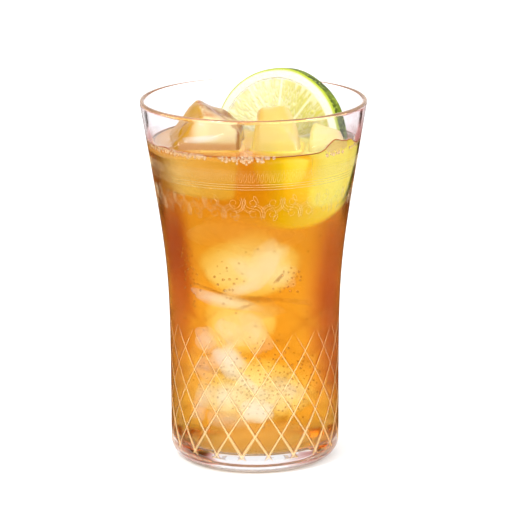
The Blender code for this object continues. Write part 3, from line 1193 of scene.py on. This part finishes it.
def level_rings(settings, obstacles, columns):
    """The drink's surface from the middle out, creeping up what it touches.

    The rise falls off as exp(-distance / width), from the wall and from every obstacle's waterline.
    Where ice comes close to the wall, the drink climbs higher in the narrow gap between them.
    """
    edge = inner_radius(LEVEL + MENISCUS_RISE) + settings.reach
    profile = line((0.6 * MM, LEVEL), (edge, LEVEL), 84)
    rings = turned(profile, columns)
    flat = rings[:, :, :2].reshape(-1, 2)
    away = np.full(len(flat), np.inf)
    for part in np.array_split(obstacles, max(1, len(obstacles) // 40)):
        away = np.minimum(away, np.linalg.norm(flat[:, None] - part, axis=2).min(axis=1))
    away = away.reshape(rings.shape[:2])
    from_wall = (edge - profile[:, 0])[:, None]
    creep = np.maximum(np.exp(-from_wall / (1.1 * MM)), 0.7 * np.exp(-away / (0.9 * MM)))
    narrow = np.exp(-from_wall / (3.0 * MM)) * np.exp(-np.clip(away - 1.0 * MM, 0, None) / (2.0 * MM))
    near = 0.2 + 0.8 * smooth_step(-rings[:, :, 1] / edge, -0.4, 0.2)
    rings[:, :, 2] += MENISCUS_RISE * creep * near + BRIDGE_RISE * smooth_step(narrow, 0.1, 0.9)
    widened = (inner_radius(rings[:, :, 2]) + settings.reach) / edge - 1
    rings[:, :, :2] *= (1 + widened * (profile[:, :1] / edge) ** 6)[:, :, None]
    return rings


def drink_shell(settings, surface):
    """The body of the drink: its surface, then down the inside of the wall to the floor."""
    inside = inside_profile(-settings.reach, LEVEL + MENISCUS_RISE, 44)
    return closed(np.concatenate([surface, turned(inside[::-1][1:], surface.shape[1])]))


def meniscus_line(contact):
    """A bead of painted shade where the drink touches the glass: a circle carried round, thinner at the
    back.
    """
    out = contact * (1, 1, 0) / np.linalg.norm(contact[:, :2], axis=1, keepdims=True)
    near = smooth_step(-out[:, 1], -0.2, 0.3)
    radius = (0.05 + 0.17 * near)[:, None] * MM
    turns = np.arange(8) * math.tau / 8
    inner = contact - out * 0.25 * MM
    up = np.array([0, 0, 1.0])
    rings = np.stack([inner + radius * (out * math.cos(turn) + up * math.sin(turn)) for turn in turns])
    return looped(rings)


def waterline(shell):
    """Where a shell's points come within half a millimetre of the drink's level, seen from above."""
    points = shell[0]
    return points[np.abs(points[:, 2] - LEVEL) < 0.5 * MM][:, :2]


def cut_out(shell, cutters, added=()):
    """The shell less every cutter and then with every added shell, by one Boolean for each."""
    piece = make_object("drink", make_mesh("drink", shell), None)
    helpers = []
    for number, other in enumerate([*cutters, *added]):
        helper = make_object(f"cutter_{number}", make_mesh("cutter", other), None)
        cut = piece.modifiers.new(helper.name, "BOOLEAN")
        cut.operation = "DIFFERENCE" if number < len(cutters) else "UNION"
        cut.solver = "MANIFOLD"
        cut.object = helper
        helpers.append(helper)
    set_modifiers_in(piece)
    result = arrays_of(piece.data)
    discard(piece, *helpers)
    return result


def touches_drink(points):
    """True for points of the glass's inner side that lie under the drink's level."""
    inside = from_axis(points) < inner_radius(points[:, 2]) + 0.3 * MM
    return inside & (points[:, 2] > FLOOR - 0.1 * MM) & (points[:, 2] < LEVEL + MENISCUS_RISE)


def open_surface(points):
    """True for points of the drink that lie on its top, clear of the wall."""
    inside = from_axis(points) < inner_radius(points[:, 2]) - 0.05 * MM
    return inside & (points[:, 2] > LEVEL - 0.1 * MM)


def on_wall(angles, heights, away):
    """Points inside the glass, this far from the inner wall."""
    return round_axis(inner_radius(heights) - away, angles, heights)


def wall_bubbles(settings):
    """Bubbles that cling to the glass under the surface, in loose drifts, as centres and radii."""
    draw = np.random.default_rng(8)
    centres, radii = [], []
    for angle, spread, height, rise, count, large in DRIFTS:
        angles = np.radians(angle + spread * draw.normal(size=count) / 2)
        heights = (height + rise * draw.normal(size=count) / 1.6) * MM
        size = large * settings.bubble * draw.uniform(0.6, 1.0, count)
        kept = (heights > 13 * MM) & (heights < 105 * MM)
        centres.append(on_wall(angles, heights, size + 0.12 * MM)[kept])
        radii.append(size[kept])
    return thinned(np.concatenate(centres), np.concatenate(radii), 1.6)


def thinned(centres, radii, room):
    """The balls that don't crowd an earlier one: their middles lie this many times both radii apart."""
    gaps = np.linalg.norm(centres[:, None] - centres[None], axis=2)
    crowded = np.tril(gaps < room * (radii[:, None] + radii[None]), -1).any(axis=1)
    return centres[~crowded], radii[~crowded]


def froth_bubbles(settings):
    """Bubbles at the waterline, one beside the other in loose rows on the wall, as centres and radii."""
    draw = np.random.default_rng(3)
    centres, radii = [], []
    for start, end, fall, count in FROTH_ROWS:
        angles = np.radians(np.linspace(start, end, count) + 0.4 * draw.normal(size=count))
        size = settings.froth * draw.uniform(0.55, 1.0, count)
        heights = LEVEL + MENISCUS_RISE - size - (fall + 0.15 * draw.normal(size=count)) * MM
        centres.append(on_wall(angles, heights, 0.35 * size))
        radii.append(size)
    return np.concatenate(centres), np.concatenate(radii)


def pressed_on_wall(points):
    """Points that would be in the wall, drawn in to just past its inner face, where they lie flat."""
    return inside_glass(points, -0.1 * MM)


def gel_mesh(turns, path):
    """A gel carried round the glass along its path, with how well each point of it covers.

    The path's cover is taken times a part that rises from nothing at the first turn to full
    at the second, stays so to the third and is nothing again at the fourth.
    """
    path = np.array(path, float)
    run = np.concatenate([[0], np.cumsum(np.linalg.norm(np.diff(path[:, :2], axis=0), axis=1))])
    radius, height, strength = (np.interp(np.linspace(0, run[-1], 60), run, values) for values in path.T)
    angles = line(turns[0], turns[3], 60)
    across = smooth_step(angles, *turns[:2]) * (1 - smooth_step(angles, *turns[2:]))
    points = round_axis(radius[:, None], np.radians(angles), height[:, None]) * MM
    index = np.arange(points[:, :, 0].size).reshape(points.shape[:2])
    corners = index[:-1, :-1], index[:-1, 1:], index[1:, 1:], index[1:, :-1]
    here, beside, beyond, above = (part.ravel() for part in corners)
    faces = np.concatenate([np.stack([here, beside, beyond], 1), np.stack([here, beyond, above], 1)])
    mesh = make_mesh("gel", (points.reshape(-1, 3), faces))
    store(mesh, "cover", (strength[:, None] * across).ravel())
    return mesh


def skin_of_drink(drink, body, cutter, afloat):
    """The drink's skin with a film over the ice, its bubbles as cavities, and what its material reads.

    It is bare where air touches it, and a little cloudy elsewhere.
    """
    bubbles = hollow(scattered_balls(*wall_bubbles(drink)))
    points, faces = joined([cut_out(body, [cutter], afloat), bubbles])
    bare = open_surface(points)
    bare[-len(bubbles[0]):] = True
    film = 0.6 * (bare & (points[:, 2] > LEVEL + 2 * MM))
    return (points, faces), {"bare": bare, "cloudy": 0.2 * ~bare, "film": film}


class HIGHBALL_OT_glass(Operator):
    """Makes the tumbler: one closed skin with the lattice cut into its outer wall"""

    bl_idname = "highball.glass"
    bl_label = "Cut tumbler"

    def execute(self, context):
        settings = context.scene.highball_glass
        shell = closed(*glass_rings(settings))
        # How strongly the lip glows with painted light: rising to 0.22 near the top.
        lip = 0.22 * smooth_step(shell[0][:, 2], HEIGHT - 1.4 * MM, HEIGHT - 0.5 * MM)
        kept = {"bare": ~touches_drink(shell[0]), "lip": lip}
        make_piece("cut_tumbler", shell, cut_glass_material(settings), "glass", "glass", **kept)
        return {"FINISHED"}


class HIGHBALL_OT_etching(Operator):
    """Makes the etched bands: fine lines, needle loops, and scrolls with leaves"""

    bl_idname = "highball.etching"
    bl_label = "Etched bands"

    def execute(self, context):
        settings = context.scene.highball_glass
        width, height = settings.line_width, settings.line_height
        shells = [ridges(*group, share * width, height) for group, share in etched_strokes()]
        make_piece("etched_bands", joined(shells), etched_material(settings.frost), "glass")
        return {"FINISHED"}


class HIGHBALL_OT_flanks(Operator):
    """Makes the flanks of the lattice's grooves, with painted highlight on the lit ones and painted shade on
    the shaded ones
    """

    bl_idname = "highball.flanks"
    bl_label = "Ground flanks"

    def execute(self, context):
        settings = context.scene.highball_glass
        # Painted highlight in cream and gold on the flanks that face up, painted shade in brown on those
        # that face down.
        lit = flank_material("lit", "#FFE2B0", "#FFCE7C", 0.34)
        make_piece("lit_flanks", flanks(settings, 1, 1.0, 0.4), lit, "glass")
        shaded = flank_material("shaded", "#A8602C", "#A8602C", 0.25)
        make_piece("shaded_flanks", flanks(settings, -1, 0.45, 0.3), shaded, "glass")
        return {"FINISHED"}


class HIGHBALL_OT_floating_ice(Operator):
    """Makes the three lumps of ice that break the surface"""

    bl_idname = "highball.floating_ice"
    bl_label = "Floating ice"

    def execute(self, context):
        ice = context.scene.highball_ice
        materials = ice_material("clear_melting_ice", ice.tint), wet_ice_material()
        for node, shell in floating_lumps(ice).items():
            ice_piece(node, shrunk(shell, OVERLAP), *materials)
        return {"FINISHED"}


class HIGHBALL_OT_sunk_ice(Operator):
    """Makes the sunk blocks of ice, with the air frozen into them, and the veils of painted light and shade
    round them
    """

    bl_idname = "highball.sunk_ice"
    bl_label = "Sunk ice and haze"

    def execute(self, context):
        ice = context.scene.highball_ice
        make_piece("sunk_ice", joined(sunk_blocks()), ice_material("clear_sunk_ice", ice.tint), "ice")
        # Milky air in the ice, which glows with painted light.
        make_piece("milky_ice", veils(MILKY, 0.7), veil_material("air_frozen_into_ice", ice.milk), "ice")
        # Peach patches of painted light in the drink.
        make_piece("haze", veils(PEACH_GLOW), veil_material("painted_peach_glow", ice.haze), "drink")
        # Thin brown lines of painted shade between the blocks.
        make_piece("shade_lines", veils(SHADE_LINES), veil_material("painted_brown_shade", ice.crack), "ice")
        return {"FINISHED"}


class HIGHBALL_OT_drink(Operator):
    """Makes the drink: its edge painted as a dark line, its skin with bubbles, and its coloured body round
    the ice
    """

    bl_idname = "highball.drink"
    bl_label = "Drink"

    def execute(self, context):
        drink = context.scene.highball_drink
        afloat = list(floating_lumps(context.scene.highball_ice).values())
        cutter = slice_cutter()
        obstacles = np.concatenate([waterline(shell) for shell in (*afloat, cutter)])
        surface = level_rings(drink, obstacles, 240)
        make_piece("meniscus_line", meniscus_line(surface[-1]), meniscus_shade_material(), "drink")
        body = drink_shell(drink, surface)
        shell, kept = skin_of_drink(drink, body, cutter, afloat)
        make_piece("drink_skin", shell, drink_skin_material(), "drink", "drink", **kept)
        stained = shrunk(cut_out(body, [cutter, *afloat]), SKIN)
        cavities = [hollow(shrunk(block, OVERLAP)) for block in sunk_blocks()]
        make_piece("amber_drink", joined([stained, *cavities]), drink_material(drink), "drink", "drink")
        return {"FINISHED"}


class HIGHBALL_OT_froth(Operator):
    """Makes the bubbles at the waterline: thin films of drink round air"""

    bl_idname = "highball.froth"
    bl_label = "Bubbles"

    def execute(self, context):
        points, faces = scattered_balls(*froth_bubbles(context.scene.highball_drink))
        make_piece("froth", (pressed_on_wall(points), faces), froth_material(), "drink")
        return {"FINISHED"}


class HIGHBALL_OT_lime(Operator):
    """Makes the slice of lime: a ring of peel round a disc of flesh"""

    bl_idname = "highball.lime"
    bl_label = "Slice of lime"

    def execute(self, context):
        settings = context.scene.highball_lime
        shell, far_out, skinned = peel_shell()
        depth = -shell[0][:, 2] / LIME_THICKNESS
        points = moved(shell[0], lime_place())
        # The peel's painted glow under the drink, left off the dark back of the rind at the right edge.
        sunk = glow(points) * (1 - rind_shade(points, depth))
        kept = {"out": far_out, "skin": skinned, "sunk": sunk, "glow": glow_colours(points)}
        material = lime_peel_material(settings)
        make_piece("lime_peel", (points, shell[1]), material, "lime", "lime_slice", **kept)
        shell, pale = flesh_shell(settings)
        points = moved(shell[0], lime_place())
        # The flesh turns a deeper yellow towards the right.
        ripe = smooth_step(points[:, 0], 2 * MM, 24 * MM)
        kept = {"pale": pale, "ripe": ripe, "sunk": glow(points), "glow": glow_colours(points)}
        material = lime_flesh_material(settings)
        make_piece("lime_flesh", (points, shell[1]), material, "lime", "lime_slice", **kept)
        return {"FINISHED"}


class HIGHBALL_OT_stage(Operator):
    """Makes the floor, the gels and strips round the glass, the light and the camera"""

    bl_idname = "highball.stage"
    bl_label = "Stage"

    def execute(self, context):
        settings = context.scene.highball_stage
        make_floor(settings)
        make_gels(settings)
        make_light(context.scene)
        make_camera(context.scene, settings)
        return {"FINISHED"}


def make_floor(settings):
    """A wide flat floor just under the foot."""
    corners = np.array([(-4, -4, 0), (4, -4, 0), (4, 4, 0), (-4, 4, 0)]) - (0, 0, 0.1 * MM)
    mesh = make_mesh("floor", (corners, np.array([(0, 1, 2), (0, 2, 3)])))
    make_object("floor", mesh, floor_material(settings.floor))


def make_gels(settings):
    """Gels that darken the sides of the drink and the heel, and flags that darken the rim's sides.

    Only light through the glass meets them. A dark mat on the floor and two strip lights are seen in
    the gloss alone: the mat keeps the glass deep in colour, and the strips light the cuts' flanks.
    """
    for number, (turns, path, colour) in enumerate(GELS):
        name = f"gel_{number}"
        hang_gel(name, gel_mesh(turns, path), gel_material(name, getattr(settings, colour)))
    disc = turned(np.array([(45 * MM, 0.0), (700 * MM, 0.0)]), 64)
    mesh = make_mesh("mat", (disc.reshape(-1, 3), skin(disc)[:, ::-1]))
    store(mesh, "cover", np.repeat([0.9, 0.6], 64))
    show_in_gloss(hang_gel("mat", mesh, gel_material("mat", settings.mat)))
    lit = {"Emission Color": settings.strip, "Emission Strength": 9.0}
    material = new_material("strip_light", {"Base Color": linear("#000000"), **lit})[0]
    for number, turns in enumerate(STRIPS):
        show_in_gloss(hang_gel(f"strip_{number}", gel_mesh(turns, STRIP_PATH), material))


def show_in_gloss(piece):
    """Makes a piece of the stage seen in reflections alone."""
    piece.visible_glossy = True
    piece.visible_transmission = False


def hang_gel(name, mesh, material):
    """Puts up a gel that only light through glass meets: it shows in no picture and on nothing else."""
    gel = make_object(name, mesh, material)
    for way in ("glossy", "camera", "diffuse", "shadow", "volume_scatter"):
        setattr(gel, f"visible_{way}", False)
    return gel


def make_light(scene):
    """A white room, a soft box on the left and a smaller one on the right for the highlights."""
    world = bpy.data.worlds.new("white_room")
    world.use_nodes = True
    fill(world.node_tree, world.node_tree.nodes["Background"], {"Color": WHITE, "Strength": 1.0})
    scene.world = world
    for number, (place, size, power) in enumerate(SOFT_BOXES):
        light = bpy.data.lights.new(f"soft_box_{number}", "AREA")
        light.shape = "RECTANGLE"
        light.size, light.size_y = size
        light.energy = power
        lamp = bpy.data.objects.new(light.name, light)
        lamp.location = place
        aim = Vector((0, 0, 0.07)) - lamp.location
        lamp.rotation_euler = aim.to_track_quat("-Z", "Y").to_euler()
        scene.collection.objects.link(lamp)
    scene.view_settings.view_transform = "Standard"
    scene.cycles.max_bounces = 64
    scene.cycles.transmission_bounces = 64
    scene.cycles.glossy_bounces = 32
    scene.cycles.diffuse_bounces = 4
    scene.cycles.transparent_max_bounces = 128
    scene.cycles.caustics_refractive = True
    scene.cycles.caustics_reflective = True


def make_camera(scene, settings):
    """A long lens, level with the top of the glass and looking down a little."""
    data = bpy.data.cameras.new("camera")
    data.sensor_width = 36
    data.lens = settings.lens
    data.clip_end = 20
    camera = bpy.data.objects.new("camera", data)
    yaw = Matrix.Rotation(-settings.aside, 4, "Z")
    pitch = Matrix.Rotation(math.pi / 2 - settings.down, 4, "X")
    roll = Matrix.Rotation(settings.tip, 4, "Z")
    camera.matrix_world = Matrix.Translation((0, -settings.distance, settings.rise)) @ yaw @ pitch @ roll
    scene.collection.objects.link(camera)
    scene.camera = camera


GROUPS = {
    "highball_glass": HighballGlass,
    "highball_drink": HighballDrink,
    "highball_ice": HighballIce,
    "highball_lime": HighballLime,
    "highball_stage": HighballStage,
}
OPERATORS = (
    HIGHBALL_OT_stage,
    HIGHBALL_OT_glass,
    HIGHBALL_OT_etching,
    HIGHBALL_OT_flanks,
    HIGHBALL_OT_floating_ice,
    HIGHBALL_OT_sunk_ice,
    HIGHBALL_OT_drink,
    HIGHBALL_OT_froth,
    HIGHBALL_OT_lime,
)


class HIGHBALL_PT_pieces(Panel):
    """Lists the operators in the 3D view's sidebar"""

    bl_label = "Iced highball"
    bl_space_type = "VIEW_3D"
    bl_region_type = "UI"
    bl_category = "Highball"

    def draw(self, context):
        for operator in OPERATORS:
            self.layout.operator(operator.bl_idname)
        for name, group in GROUPS.items():
            column = self.layout.column()
            column.label(text=group.__doc__)
            for setting in group.__annotations__:
                column.prop(getattr(context.scene, name), setting)


def register():
    for name, group in GROUPS.items():
        bpy.utils.register_class(group)
        setattr(bpy.types.Scene, name, PointerProperty(type=group))
    for made in (*OPERATORS, HIGHBALL_PT_pieces):
        bpy.utils.register_class(made)


def unregister():
    for made in (HIGHBALL_PT_pieces, *reversed(OPERATORS)):
        bpy.utils.unregister_class(made)
    for name, group in GROUPS.items():
        delattr(bpy.types.Scene, name)
        bpy.utils.unregister_class(group)


def main():
    """Makes every piece in order."""
    register()
    bpy.ops.highball.stage()
    bpy.ops.highball.glass()
    bpy.ops.highball.etching()
    bpy.ops.highball.flanks()
    bpy.ops.highball.floating_ice()
    bpy.ops.highball.sunk_ice()
    bpy.ops.highball.drink()
    bpy.ops.highball.froth()
    bpy.ops.highball.lime()


if __name__ == "__main__":
    main()
